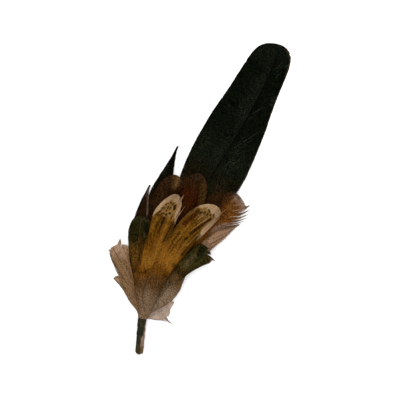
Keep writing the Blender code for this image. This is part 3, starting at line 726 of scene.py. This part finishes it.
FINISHES = {
    "long_black_feather": Finish(
        (0.0045, 0.0062, 0.0032),
        ((3, 14, (0.0026, 0.0037, 0.0018)), (42, 56, (0.0048, 0.0062, 0.0031)),
         (60, 69, (0.0068, 0.0052, 0.0019))),
        ((1, -2, 16, 0.9, 0.8, (0.052, 0.032, 0.021)), (1, 14, 90, 0.6, 0.8, (0.042, 0.028, 0.019)),
         (-1, -2, 3, 0.4, 0.6, (0.04, 0.027, 0.018)), (-1, 4, 90, 0.35, 0.5, (0.016, 0.014, 0.009))),
        # The first two strokes are the painted sheen left of the shaft, a painted highlight
        ((-1.2, 12, -1.4, 62, 0.2, 1.8, 0.45, PAINTED_SHEEN), (-2.6, 20, -2.6, 36, 0.4, 4.5, 0.4, PAINTED_SHEEN),
         # Painted shade: a darker stroke in the trough right of the shaft
         (1.0, 6, 1.2, 60, 0.3, 1.8, 0.4, (0.0018, 0.0026, 0.0011)),
         (0.45, 3, 0.45, 68, 0.08, 0.35, 0.85, (0.001, 0.0014, 0.0006)),
         *alike(0.8, SPLIT, (0.2, 35.4, 4.25, 28.2, 0.04, 0.18), (3.6, 60.8, 5.6, 56.6, 0.05, 0.18),
                (4.2, 54.2, 5.5, 51.0, 0.06, 0.2), (3.4, 53.0, 4.8, 49.8, 0.05, 0.18),
                (5.2, 57.2, 7.2, 53.4, 0.05, 0.18), (3.6, 14.0, 4.9, 11.5, 0.05, 0.18),
                (5.5, 8.5, 6.7, 6.7, 0.05, 0.18)),
         (1.0, 36.4, 3.8, 31.4, 0.03, 0.16, 0.5, SPLIT), (2.3, 50.2, 8.1, 38.5, 0.05, 0.2, 0.9, SPLIT),
         (3.4, 50.6, 7.4, 42.6, 0.03, 0.16, 0.5, SPLIT), (2.5, 60.5, 4.1, 56.4, 0.05, 0.2, 0.9, SPLIT),
         (7.2, 59.0, 8.6, 56.0, 0.05, 0.18, 0.6, SPLIT), (1.5, 11.5, 4.2, 6.2, 0.04, 0.18, 0.9, SPLIT),
         (2.6, 11.9, 4.4, 8.2, 0.03, 0.16, 0.6, SPLIT),
         (7.2, 25.4, 6.9, 23.0, 0.4, 1.2, 0.6, (0.013, 0.014, 0.0095)),
         (6.4, 68.0, 7.5, 76.0, 2.0, 3.0, 0.7, (0.0125, 0.008, 0.0034))),
        (6.0, 9.0), (0.0014, 0.0018, 0.0008), 0.6, 0.004, 0.16, 1.2),
    "lower_down_feather": Finish(
        (0.36, 0.235, 0.14),
        ((2, 7, (0.29, 0.18, 0.102)), (10, 18, (0.22, 0.13, 0.07))),
        ((-1, -2, 26, 0.35, 0.6, (0.13, 0.07, 0.028)),),
        (),
        (3.0, 6.0), (0.13, 0.07, 0.03), 0.8, 0.02, 0.16, 0.9),
    "right_down_feather": Finish(
        (0.64, 0.5, 0.405),
        ((3, 8, (0.6, 0.455, 0.365)), (9, 13, (0.4, 0.27, 0.18))),
        ((1, -2, 16, 0.4, 0.6, (0.34, 0.23, 0.16)),),
        ((-2.0, 5.0, 1.0, 4.0, 0.5, 1.5, 0.4, (0.42, 0.3, 0.215)),),
        (2.5, 5.0), (0.34, 0.24, 0.16), 0.85, 0.02, 0.16, 0.9),
    "tall_pointed_feather": Finish(
        (0.02, 0.013, 0.008),
        ((0.5, 3.0, (0.004, 0.0038, 0.0013)), (10, 19, (0.0052, 0.0038, 0.0013)),
         (19, 30, (0.0145, 0.0068, 0.002))),
        ((1, -2, 16, 0.4, 0.7, (0.028, 0.014, 0.006)), (-1, 6, 34, 0.35, 0.5, (0.016, 0.012, 0.007))),
        ((-0.6, 10, -1.2, 14, 0.2, 0.5, 0.6, (0.018, 0.017, 0.011)),),
        (5.0, 7.0), (0.004, 0.003, 0.001), 0.6, 0.004, 0.25, 1.0),
    "right_brown_feather": Finish(
        (0.01, 0.008, 0.0034),
        ((1.5, 4.5, (0.0165, 0.01, 0.0038)), (5, 12, (0.036, 0.014, 0.0034))),
        ((-1, -2, 30, 1.2, 0.6, (0.0075, 0.0078, 0.0034)), (1, 3, 26, 0.9, 0.5, (0.04, 0.021, 0.01))),
        ((-4.0, 2.0, -2.5, 6.0, 1.0, 2.5, 0.7, (0.0062, 0.007, 0.003)),
         (5.0, 8.0, 7.5, 13.0, 1.5, 3.5, 0.8, (0.085, 0.03, 0.006))),
        (6.0, 6.0), (0.02, 0.01, 0.004), 0.75, 0.004, 0.2, 0.9),
    "left_down_feather": Finish(
        (0.37, 0.24, 0.145),
        ((1, 7, (0.24, 0.138, 0.066)), (10, 26, (0.195, 0.112, 0.054))),
        ((-1, 0, 40, 0.5, 0.6, (0.3, 0.19, 0.11)), (1, -2, 14, 0.4, 0.5, (0.3, 0.19, 0.115))),
        ((0.0, 1.0, 0.5, 8.0, 0.08, 0.25, 0.8, (0.11, 0.056, 0.022)),
         (4.5, -0.8, 4.1, 3.7, 0.08, 0.25, 0.8, (0.1, 0.052, 0.02)),
         (-2.3, 2.0, -2.7, 10.2, 0.1, 0.25, 0.9, (0.095, 0.048, 0.019)),
         (-2.7, 10.2, -1.1, 18.4, 0.1, 0.25, 0.9, (0.095, 0.048, 0.019)),
         (-4.9, 12.0, -2.8, 20.0, 0.1, 0.25, 0.9, (0.115, 0.06, 0.025)),
         (1.8, 4.0, 1.4, 16.0, 0.3, 0.9, 0.6, (0.125, 0.066, 0.025)),
         (5.0, 8.0, 3.6, 18.0, 0.5, 1.6, 0.5, (0.14, 0.076, 0.026)),
         (2.6, 2.0, 2.4, 6.0, 0.5, 1.5, 0.5, (0.36, 0.24, 0.15))),
        (4.0, 7.0), (0.11, 0.058, 0.024), 0.8, 0.02, 0.2, 0.9),
    "short_pointed_feather": Finish(
        (0.012, 0.007, 0.003),
        ((2, 8, (0.0165, 0.007, 0.0021)), (20, 30, (0.022, 0.0095, 0.0024))),
        ((-1, 2, 26, 0.7, 0.7, (0.006, 0.0054, 0.002)), (1, 0.5, 20, 0.9, 0.9, (0.105, 0.07, 0.048))),
        (),
        (4.0, 6.0), (0.008, 0.005, 0.002), 0.65, 0.004, 0.25, 0.9),
    "middle_brown_feather": Finish(
        (0.0078, 0.0058, 0.0022),
        ((0.5, 4, (0.0165, 0.0088, 0.0032)), (5, 14, (0.026, 0.011, 0.003))),
        ((-1, 2, 26, 0.9, 0.5, (0.03, 0.018, 0.009)), (1, 2, 26, 0.9, 0.5, (0.03, 0.018, 0.009))),
        (),
        (6.0, 6.0), (0.02, 0.01, 0.004), 0.75, 0.004, 0.2, 0.9),
    "left_chestnut_feather": Finish(
        (0.03, 0.0165, 0.0068),
        ((1, 5, (0.0145, 0.0054, 0.0015)), (18, 28, (0.023, 0.0056, 0.0013))),
        ((-1, -1, 24, 0.8, 0.6, (0.024, 0.011, 0.004)), (1, -1, 8, 0.8, 0.6, (0.045, 0.024, 0.009))),
        ((0.7, 1.2, 0.8, 5.0, 0.5, 2.2, 0.75, (0.075, 0.034, 0.009)),
         (1.2, 1.6, 1.3, 3.8, 0.2, 1.2, 0.65, (0.135, 0.072, 0.028)),
         (-3.5, 5.0, -4.0, 16.0, 0.8, 2.2, 0.6, (0.032, 0.014, 0.005))),
        (3.0, 5.0), (0.02, 0.01, 0.004), 0.7, 0.004, 0.22, 0.9),
    "buff_feather": Finish(
        (0.31, 0.195, 0.13),
        ((2, 9, (0.29, 0.17, 0.103)), (14, 22, (0.185, 0.098, 0.046))),
        ((1, -2, 30, 0.5, 0.5, (0.33, 0.22, 0.155)), (-1, 0, 20, 0.5, 0.6, (0.4, 0.29, 0.22))),
        ((1.0, 4.0, -0.6, 13.0, 0.08, 0.3, 0.5, (0.15, 0.068, 0.022)),
         (1.4, 9.0, 0.2, 16.0, 0.1, 0.35, 0.7, (0.12, 0.048, 0.012)),
         (2.4, 12.0, 1.6, 17.0, 0.1, 0.35, 0.6, (0.13, 0.056, 0.018)),
         (-3.6, 6.0, -3.2, 16.0, 0.5, 1.2, 0.8, (0.125, 0.05, 0.008))),
        (4.0, 7.0), (0.24, 0.14, 0.08), 0.8, 0.02, 0.35, 0.9),
    "left_green_feather": Finish(
        (0.02, 0.017, 0.006),
        ((1, 4, (0.0155, 0.0115, 0.0026)), (10, 16, (0.082, 0.038, 0.0056)), (17, 26, (0.11, 0.045, 0.0055)),
         (28, 35, (0.15, 0.082, 0.036))),
        ((-1, 2, 26, 0.4, 0.6, (0.024, 0.019, 0.009)), (1, 0, 12, 0.6, 0.5, (0.007, 0.008, 0.003))),
        ((2.6, 4.0, 3.2, 6.6, 0.4, 1.0, 0.85, (0.0045, 0.006, 0.002)),
         (2.2, 7.6, 2.6, 9.0, 0.2, 0.5, 0.6, (0.06, 0.042, 0.016)),
         (-1.9, 4.8, -1.2, 9.0, 0.6, 1.6, 0.5, (0.01, 0.0095, 0.0024)),
         (0.6, 10.0, 1.6, 20.5, 0.5, 0.9, 0.75, (0.04, 0.016, 0.002)),
         (-1.4, 22.6, -1.3, 24.4, 0.6, 1.0, 0.85, (0.048, 0.018, 0.0018)),
         (-1.4, 25.5, -1.7, 32.0, 0.2, 0.45, 0.8, (0.085, 0.037, 0.005)),
         (2.6, 24.4, 2.8, 26.4, 0.5, 1.0, 0.7, (0.07, 0.026, 0.0025))),
        (4.0, 7.0), (0.06, 0.032, 0.009), 0.65, 0.006, 0.3, 0.9),
    "rust_feather": Finish(
        (0.165, 0.098, 0.062),
        ((1, 5, (0.125, 0.046, 0.009)), (6, 14, (0.13, 0.043, 0.006)), (24, 34, (0.095, 0.033, 0.005))),
        ((1, -3, 22, 2.6, 0.75, (0.21, 0.13, 0.084)),),
        ((-0.5, -0.5, 2.5, 0.8, 0.6, 2.0, 0.6, (0.06, 0.036, 0.02)),
         (1.6, 0.6, 5.0, 1.6, 0.7, 1.6, 0.55, (0.2, 0.118, 0.076)),
         (3.2, 7.2, 7.5, 2.1, 0.05, 0.22, 0.8, (0.3, 0.2, 0.13)),
         (4.2, 9.6, 8.6, 5.6, 0.05, 0.22, 0.8, (0.3, 0.2, 0.13)),
         (2.0, 5.0, 5.4, 1.0, 0.05, 0.25, 0.6, (0.29, 0.19, 0.12)),
         (3.4, 11.6, 9.0, 8.4, 0.06, 0.3, 0.7, (0.08, 0.027, 0.004)),
         (2.4, 8.4, 6.6, 4.6, 0.06, 0.3, 0.7, (0.085, 0.03, 0.005)),
         (-4.0, 0.0, -4.6, 14.0, 2.0, 2.8, 0.95, (0.02, 0.0095, 0.0034)),
         (-1.4, 4.0, -1.2, 9.0, 0.5, 1.6, 0.7, (0.06, 0.021, 0.004)),
         (1.0, 9.0, 0.6, 20.0, 0.5, 1.4, 0.6, (0.085, 0.024, 0.0028))),
        (5.0, 6.0), (0.1, 0.036, 0.007), 0.75, 0.008, 0.45, 0.9),
    "right_chestnut_feather": Finish(
        (0.026, 0.014, 0.006),
        ((1, 5, (0.021, 0.0078, 0.0022)), (6, 11, (0.018, 0.004, 0.0009)),
         (18, 26, (0.024, 0.0058, 0.0013))),
        ((-1, -1, 14, 0.7, 0.6, (0.03, 0.015, 0.006)), (1, -1, 6, 0.8, 0.6, (0.033, 0.019, 0.009))),
        ((3.6, 4.0, 5.6, 12.5, 0.7, 1.6, 0.85, (0.046, 0.023, 0.0055)),
         (5.6, 12.5, 5.8, 20.0, 0.6, 1.4, 0.7, (0.056, 0.025, 0.005)),
         (-1.0, 9.0, -0.6, 16.0, 1.5, 2.6, 0.6, (0.036, 0.0085, 0.0011))),
        (3.0, 5.0), (0.02, 0.008, 0.002), 0.65, 0.004, 0.22, 0.9),
    "right_green_feather": Finish(
        (0.026, 0.021, 0.007),
        ((1, 4, (0.036, 0.027, 0.0064)), (8, 14, (0.054, 0.036, 0.0084)),
         (14.5, 18.5, (0.095, 0.049, 0.017)), (20, 27, (0.19, 0.125, 0.076))),
        ((-1, 0, 22, 0.6, 0.8, (0.012, 0.0105, 0.003)), (1, -1, 5, 0.8, 0.9, (0.19, 0.115, 0.07)),
         (1, 3, 22, 0.8, 0.6, (0.038, 0.03, 0.008)), (-1, 14, 32, 1.0, 0.7, (0.038, 0.018, 0.003))),
        ((-1.6, 2.0, -0.6, 4.0, 0.8, 1.2, 0.9, (0.0058, 0.008, 0.0024)),
         (0.6, 5.4, 0.2, 7.4, 0.5, 1.0, 0.7, (0.0095, 0.01, 0.0028)),
         (-1.4, 7.0, -1.2, 12.0, 0.5, 1.0, 0.6, (0.085, 0.06, 0.026)),
         (2.0, 11.0, 2.2, 14.0, 0.8, 1.4, 0.7, (0.034, 0.024, 0.005)),
         (-3.4, 16.6, 1.6, 16.0, 0.7, 1.5, 0.85, (0.03, 0.013, 0.0026)),
         (-0.6, 21.0, -0.6, 30.0, 0.3, 1.2, 0.6, (0.085, 0.046, 0.017))),
        (4.0, 7.0), (0.05, 0.034, 0.012), 0.65, 0.008, 0.3, 0.9),
    "left_golden_feather": Finish(
        CREAM,
        ((2.6, 4.2, CREAM_SHADE), (9.4, 12.4, (0.12, 0.047, 0.0034)), (17, 25, (0.138, 0.051, 0.0045)),
         (26, 31, (0.208, 0.086, 0.0092)), (33, 36.5, (0.128, 0.046, 0.0045)),
         (38, 41.5, (0.08, 0.04, 0.0125)), (43.5, 49.5, (0.158, 0.097, 0.057))),
        ((-1, -2, 12.6, 2.0, 1.0, CREAM), (1, -2, 12.4, 1.9, 1.0, CREAM),
         (-1, 20, 44, 0.7, 0.6, (0.07, 0.027, 0.003))),
        (*alike(0.9, SPECK, (-3.4, 8.2, -3.3, 8.4, 0.22, 0.24), (-1.1, 8.4, -1.1, 8.7, 0.2, 0.24),
                (0.6, 8.6, 0.5, 9.2, 0.22, 0.24), (-2.4, 10.2, -2.5, 11.4, 0.18, 0.24),
                (-4.3, 11.7, -3.3, 9.4, 0.22, 0.3), (-2.7, 7.8, -2.6, 7.9, 0.28, 0.28),
                (-2.5, 6.2, -2.4, 6.2, 0.22, 0.28), (-1.9, 5.3, -1.8, 5.5, 0.14, 0.22),
                (-1.0, 4.5, -0.6, 4.5, 0.25, 0.28), (0.4, 4.0, 0.1, 5.3, 0.18, 0.26),
                (-1.0, 6.5, -1.0, 7.4, 0.18, 0.26), (0.0, 6.5, -0.1, 7.4, 0.18, 0.26),
                (-1.8, 10.2, -1.7, 10.2, 0.25, 0.3), (1.1, 8.9, 1.0, 9.1, 0.18, 0.26),
                (-1.8, 11.3, -2.6, 16.8, 0.14, 0.28)),
         (-3.2, 11.2, -3.6, 14.0, 0.14, 0.3, 0.8, SPECK), (2.2, 9.6, 2.2, 11.0, 0.16, 0.24, 0.8, SPECK),
         (1.4, 5.0, 1.7, 6.3, 0.42, 0.3, 1.0, STREAK), (-0.4, 9.9, -0.4, 10.2, 0.34, 0.3, 0.9, STREAK),
         (-0.6, 11.8, -0.7, 14.4, 0.42, 0.35, 1.0, STREAK), (-0.7, 14.4, -0.9, 18.9, 0.22, 0.4, 0.8, STREAK),
         (-2.9, 14.6, -2.2, 20.8, 0.12, 0.3, 0.8, SPECK),
         # Painted shade in the hollow where the two golden feathers meet
         (3.7, 12.8, 3.5, 14.8, 0.5, 0.4, 0.9, (0.05, 0.025, 0.005)),
         (3.4, 14.8, 2.4, 22.4, 0.2, 0.35, 0.85, STREAK),
         (-3.8, 18.6, -2.9, 25.1, 0.12, 0.4, 0.7, (0.07, 0.028, 0.002)),
         (-2.2, 20.8, -1.8, 27.1, 0.14, 0.4, 0.7, (0.075, 0.03, 0.002)),
         (1.4, 12.2, 1.1, 21.2, 0.15, 0.5, 0.6, (0.215, 0.098, 0.012)),
         (-3.7, 12.8, -4.1, 19.2, 0.3, 0.6, 0.6, (0.19, 0.088, 0.011)),
         (1.5, 24.2, 1.7, 32.2, 1.0, 2.2, 0.6, (0.225, 0.098, 0.012)),
         (-5.7, 24.8, -5.0, 33.8, 0.25, 0.5, 0.8, (0.052, 0.019, 0.002)),
         (-4.0, 37.4, -1.2, 36.8, 0.3, 1.1, 0.8, (0.055, 0.021, 0.002)),
         (-0.4, 38.6, 0.8, 38.4, 0.3, 1.0, 0.6, (0.06, 0.027, 0.005)),
         (-1.7, 39.2, -1.4, 49.2, 0.12, 0.4, 0.6, (0.09, 0.05, 0.02)),
         (0.5, 40.2, 0.3, 47.2, 0.12, 0.4, 0.5, (0.23, 0.15, 0.095))),
        (2.0, 9.0), (0.085, 0.036, 0.005), 0.65, 0.008, 0.42, 0.75),
    "right_golden_feather": Finish(
        CREAM,
        ((3.0, 4.6, (0.205, 0.108, 0.032)), (7.5, 12.0, (0.125, 0.052, 0.0042)),
         (17, 26, (0.125, 0.048, 0.0038)), (24, 30, (0.21, 0.087, 0.009)),
         (33.5, 37, (0.118, 0.043, 0.0042)), (38.5, 42, (0.072, 0.034, 0.0095)),
         (44.5, 51, (0.15, 0.093, 0.053))),
        ((1, -2, 17, 1.6, 1.0, CREAM), (-1, -2, 7.5, 1.6, 0.9, CREAM),
         (-1, 6, 26, 1.5, 0.8, (0.085, 0.042, 0.006)), (1, 14, 40, 0.5, 0.6, (0.06, 0.026, 0.004))),
        ((-5.3, 7.8, -5.7, 15.4, 0.55, 1.15, 0.95, MAHOGANY), (0.9, 6.0, 0.1, 10.5, 0.34, 0.28, 1.0, STREAK),
         (0.1, 10.5, -0.9, 16.9, 0.48, 0.3, 1.0, STREAK),
         (-0.2, 5.6, -1.6, 14.8, 0.07, 0.16, 0.8, (0.235, 0.125, 0.036)),
         *alike(0.9, SPECK, (-0.7, 6.2, -2.2, 14.4, 0.07, 0.2), (-3.0, 5.7, -2.9, 6.3, 0.35, 0.35),
                (-2.4, 3.9, -1.6, 4.2, 0.25, 0.3), (-0.5, 4.7, -0.4, 5.1, 0.3, 0.3),
                (-3.9, 6.6, -4.0, 7.6, 0.3, 0.35), (-1.7, 5.2, -1.5, 6.2, 0.22, 0.3),
                (1.2, 12.5, 0.9, 24.0, 0.1, 0.26), (2.2, 14.0, 2.0, 27.0, 0.14, 0.35)),
         (-1.6, 7.0, -2.8, 12.0, 0.1, 0.3, 0.7, SPECK), (-4.8, 19.9, -4.8, 20.4, 0.4, 0.35, 0.9, STREAK),
         (-0.8, 19.2, -0.9, 19.8, 0.42, 0.32, 1.0, STREAK),
         *alike(0.8, SPECK, (0.4, 3.4, 0.9, 4.4, 0.16, 0.28), (-3.4, 8.4, -3.6, 19.0, 0.1, 0.3),
                (-3.0, 20.0, -2.6, 29.0, 0.1, 0.3), (-0.9, 20.4, 0.2, 29.0, 0.1, 0.3),
                (-4.9, 20.6, -3.8, 29.0, 0.1, 0.35)),
         (1.7, 13.0, 1.4, 22.0, 0.1, 0.3, 0.7, (0.215, 0.11, 0.018)),
         (-4.0, 14.0, -3.9, 24.0, 0.25, 0.6, 0.6, (0.185, 0.086, 0.012)),
         (0.2, 22.0, 0.9, 30.0, 0.4, 1.0, 0.6, (0.23, 0.098, 0.013)),
         (2.2, 32.5, 5.2, 33.5, 0.5, 1.2, 0.8, (0.045, 0.021, 0.003)),
         (1.2, 38.4, 1.8, 38.8, 0.4, 1.2, 0.8, (0.045, 0.019, 0.003)),
         (2.8, 39.5, 2.0, 43.0, 0.3, 1.8, 0.5, (0.07, 0.036, 0.011)),
         (4.8, 36.0, 3.4, 43.0, 0.1, 0.3, 0.6, (0.23, 0.155, 0.1))),
        (1.2, 9.0), (0.085, 0.036, 0.005), 0.65, 0.008, 0.42, 0.75),
}


# The paint of the shafts, the tape and the quills
HORN = (0.16, 0.10, 0.055)
# Painted shade in the tape's folds and painted light on its ridges, following the creases of its relief
TAPE_FOLD_SHADE = (0.0080, 0.0085, 0.0042)
TAPE_RIDGE_LIT = (0.0190, 0.0190, 0.0115)
# Painted shade under the edge of each lap of the tape
TAPE_LAP_SHADE = (0.005, 0.0055, 0.002)
TAPE_RUBBED = (0.040, 0.029, 0.014)
TAPE_END = (0.030, 0.022, 0.007)
WORN_STRIP = ((0.115, 0.068, 0.043), (0.170, 0.110, 0.078))
WORN_STRIP_END = (0.070, 0.046, 0.022)
QUILL_MOTTLE = ((0.090, 0.055, 0.030), (0.170, 0.110, 0.068))


def lit(colour):
    """The paint that the light makes look like this colour."""
    return tuple(part / LIGHT for part in colour)


def feather_material(name, finish, groups):
    """The finish of one vane: its bands, then its rims, then its strokes, and the grain over them all."""
    material, nodes, shader = new_material(name)
    _, back, _ = nodes.marks("vane")
    _, _, share = nodes.marks("barb")
    ripple = nodes.barb_noise(40.0, 2.0, 0.0, 3.0)
    wisps = nodes.barb_noise(220.0, 5.0, 5.0)
    ripple = nodes.plus(ripple, nodes.swing(wisps, 0.8))
    at_tip, at_foot = finish.ragged
    ragged = nodes.plus(at_foot, nodes.times(share, at_tip - at_foot))
    uneven = nodes.plus(back, nodes.swing(ripple, ragged))
    colour = lit(finish.tip)
    for begin, end, paint in finish.bands:
        colour = nodes.blend(nodes.step(uneven, begin, end), colour, lit(paint))
    for side, begin, end, width, strength, paint in finish.rims:
        colour = nodes.group(groups["rim"], Colour=colour, Paint=lit(paint), Side=side, From=begin, To=end,
                             Width=width, Strength=strength)[0]
    for across, back_from, to_across, back_to, width, soft, strength, paint in finish.strokes:
        colour = nodes.group(groups["stroke"], Colour=colour, Paint=lit(paint), From=(across, back_from, 0.0),
                             To=(to_across, back_to, 0.0), Width=width, Soft=soft, Strength=strength)[0]
    grained = nodes.group(groups["grain"], Colour=colour, Depth=finish.grain, Speckle=finish.speckle)
    nodes.feed(shader.inputs["Base Color"], grained["Colour"])
    nodes.relief(shader, grained["Height"], 0.25, 0.05)
    shader.inputs["Roughness"].default_value = finish.roughness
    shader.inputs["Specular IOR Level"].default_value = finish.gloss
    return material


def shaft_material(name, colour):
    """A shaft: horn, paler towards the stem."""
    material, nodes, shader = new_material(name)
    _, _, share = nodes.marks("barb")
    mottle = nodes.noise(nodes.add("ShaderNodeTexCoord").outputs["Object"], 700.0, 3.0)
    pale = tuple(0.5 * part + 0.5 * quill for part, quill in zip(colour, HORN))
    mixed = nodes.blend(nodes.step(share, 0.35, 0.1), colour, pale)
    darker = tuple(0.6 * part for part in colour)
    nodes.feed(shader.inputs["Base Color"], nodes.blend(nodes.times(mottle, 0.6), mixed, darker))
    shader.inputs["Roughness"].default_value = 0.45
    shader.inputs["Specular IOR Level"].default_value = 0.05
    return material


def make_feathers(origin, groups):
    """Every feather as its own piece, in place of its plain solid."""
    for feather in FEATHERS:
        mesh = vane_and_shaft(feather, LAYS[feather.name], origin)
        lay_out_bake(mesh)
        mesh.shade_smooth()
        mesh.set_sharp_from_angle(angle=SHARP_EDGE)
        finish = FINISHES[feather.name]
        mesh.materials.append(feather_material(feather.name, finish, groups))
        mesh.materials.append(shaft_material(feather.name + "_shaft", finish.shaft))
        piece = bpy.data.objects.new(feather.name + "_barbs", mesh)
        bpy.context.scene.collection.objects.link(piece)
        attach(piece, "root")
        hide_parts(feather.name)


def wound_tape(origin):
    """The tape round the quills: each turn laps over the last, and fine creases run round it."""
    shape = bmesh.new()
    add_tube(shape, TAPE_SIDES, TAPE_RINGS, False)
    tape_mark = shape.verts.layers.float_vector.new("tape")
    down = heading(STEM_HEADING)
    for vert in shape.verts:
        along = vert.co.z + 0.5
        around = math.atan2(vert.co.y, vert.co.x)
        height = STEM_LENGTH * along
        turn = height / TAPE_PITCH + around / (2.0 * math.pi)
        lap = TAPE_LAP * (turn - math.floor(turn))
        wander = 3.0 * math.sin(5.0 * around) + 2.0 * math.sin(11.0 * around)
        crease = TAPE_CREASE * math.sin(9.0 * height + wander)
        lump = (TAPE_LUMPS[0] * math.sin(1.1 * height + 2.0 * around)
                + TAPE_LUMPS[1] * math.sin(2.3 * height - 3.0 * around))
        radius = STEM_RADIUS - TAPE_LAP - STEM_TAPER * along + lap + crease + lump - TAPE_INSET
        rounded = max(0.0, (height - STEM_LENGTH + STEM_END) / STEM_END)
        radius *= 1.0 - STEM_END_ROUNDING * rounded**2
        right, up = STEM_ASIDE - STEM_SPREAD * radius * math.cos(around), radius * math.sin(around)
        vert[tape_mark] = (right, height, turn - math.floor(turn))
        across = (-down[1] * right, down[0] * right)
        vert.co = Vector((STEM_TOP[0] + down[0] * height + across[0],
                          STEM_TOP[1] + down[1] * height + across[1], STEM_RADIUS + up)) * MM
    bmesh.ops.recalc_face_normals(shape, faces=shape.faces)
    halfway = np.add(STEM_TOP, down * 0.5 * STEM_LENGTH)
    middle = Vector((*halfway, STEM_RADIUS)) * MM
    first = shape.faces[:][0]
    if first.normal.dot(first.calc_center_median() - middle) < 0.0:
        bmesh.ops.reverse_faces(shape, faces=shape.faces)
    bmesh.ops.solidify(shape, geom=shape.faces[:], thickness=TAPE_WALL * MM)
    bmesh.ops.recalc_face_normals(shape, faces=shape.faces)
    bmesh.ops.translate(shape, verts=shape.verts, vec=origin)
    mesh = bpy.data.meshes.new("wound_tape")
    shape.to_mesh(mesh)
    shape.free()
    mesh.shade_smooth()
    mesh.set_sharp_from_angle(angle=SHARP_EDGE)
    mesh.materials.append(tape_material())
    piece = bpy.data.objects.new("stem_tape_wound", mesh)
    bpy.context.scene.collection.objects.link(piece)
    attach(piece, "root")
    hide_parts("stem_tape")


def tape_material():
    """Dark green crepe tape, worn to a pinkish brown strip down its right side and lower end, with painted
    shade in its creases and under each lap's edge, and painted light on the crease ridges.
    """
    material, nodes, shader = new_material("crepe_tape")
    place = nodes.add("ShaderNodeTexCoord").outputs["Object"]
    right, height, lap = nodes.marks("tape")
    crease = nodes.noise(place, 1500.0, 4.0)
    worn = nodes.noise(place, 520.0, 3.0)
    # The creases are painted darker in the folds as shade and lighter on the ridges as lit
    colour = nodes.blend(nodes.step(crease, 0.35, 0.65), TAPE_FOLD_SHADE, TAPE_RIDGE_LIT)
    # Painted shade: a darker band just under the edge of each lap
    colour = nodes.blend(nodes.step(lap, 0.12, 0.02), colour, TAPE_LAP_SHADE)
    colour = nodes.blend(nodes.times(nodes.step(worn, 0.50, 0.66), 0.5), colour, TAPE_RUBBED)
    low = nodes.times(nodes.step(height, 9.5, 12.5), 0.8)
    colour = nodes.blend(low, colour, TAPE_END)
    shaken = nodes.plus(right, nodes.swing(worn, 1.2))
    border = nodes.minus(1.75, nodes.times(nodes.step(height, 2.5, 11.5), 1.35))
    beyond = nodes.minus(shaken, border)
    strip = nodes.step(beyond, -0.15, 0.25)
    bare = nodes.blend(nodes.step(worn, 0.4, 0.6), *WORN_STRIP)
    bare = nodes.blend(nodes.step(height, 11.0, 14.0), bare, WORN_STRIP_END)
    colour = nodes.blend(nodes.times(strip, 0.9), colour, bare)
    nodes.feed(shader.inputs["Base Color"], colour)
    nodes.relief(shader, crease, 0.5, 0.1)
    shader.inputs["Roughness"].default_value = 0.85
    shader.inputs["Specular IOR Level"].default_value = 0.02
    return material


def quill_material():
    """The cut quills inside the tape: pale brown horn, mottled."""
    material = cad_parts["quill_bundle"].data.materials[0]
    material.use_nodes = True
    nodes = Nodes(material.node_tree)
    shader = next(node for node in material.node_tree.nodes if node.type == "BSDF_PRINCIPLED")
    mottle = nodes.noise(nodes.add("ShaderNodeTexCoord").outputs["Object"], 900.0, 3.0)
    colour = nodes.blend(nodes.step(mottle, 0.35, 0.65), *QUILL_MOTTLE)
    nodes.feed(shader.inputs["Base Color"], colour)
    shader.inputs["Roughness"].default_value = 0.6


def make_stage():
    """A pale floor, a wide soft light from above the left side, and an even pale surround."""
    mesh = bpy.data.meshes.new("floor")
    shape = bmesh.new()
    bmesh.ops.create_grid(shape, x_segments=1, y_segments=1, size=FLOOR_HALF_WIDTH)
    shape.to_mesh(mesh)
    shape.free()
    floor = bpy.data.objects.new("floor", mesh)
    bpy.context.scene.collection.objects.link(floor)
    material, _, shader = new_material("floor")
    shader.inputs["Base Color"].default_value = FLOOR_COLOUR
    shader.inputs["Roughness"].default_value = 0.9
    mesh.materials.append(material)
    world = bpy.data.worlds.new("surround")
    world.use_nodes = True
    world.node_tree.nodes["Background"].inputs["Color"].default_value = (1.0, 1.0, 1.0, 1.0)
    world.node_tree.nodes["Background"].inputs["Strength"].default_value = SURROUND
    bpy.context.scene.world = world
    light = bpy.data.lights.new("key", "AREA")
    light.shape, light.size, light.energy = "DISK", LAMP_WIDTH, LAMP_WATTS
    lamp = bpy.data.objects.new("key", light)
    lamp.location = LAMP_PLACE
    lamp.rotation_euler = (-lamp.location).to_track_quat("-Z", "Y").to_euler()
    bpy.context.scene.collection.objects.link(lamp)
    bpy.context.scene.view_settings.view_transform = "Standard"


def make_camera(origin):
    """Straight above the trim, turned as the photograph shows it."""
    camera = bpy.data.cameras.new("camera")
    camera.lens, camera.sensor_width = CAMERA_LENS, CAMERA_SENSOR
    holder = bpy.data.objects.new("camera", camera)
    height = FRAME_WIDTH * CAMERA_LENS / CAMERA_SENSOR + FRAME_HEIGHT
    holder.matrix_world = (Matrix.Translation(origin + Vector((*FRAME_MIDDLE, height)) * MM)
                           @ Matrix.Rotation(math.radians(FRAME_TURN), 4, "Z"))
    camera.clip_start, camera.clip_end = 0.01, 10.0
    bpy.context.scene.collection.objects.link(holder)
    bpy.context.scene.camera = holder


origin = working_origin()
make_camera(origin)
make_stage()
make_feathers(origin, {"grain": make_grain(), "rim": make_rim(), "stroke": make_stroke()})
wound_tape(origin)
quill_material()
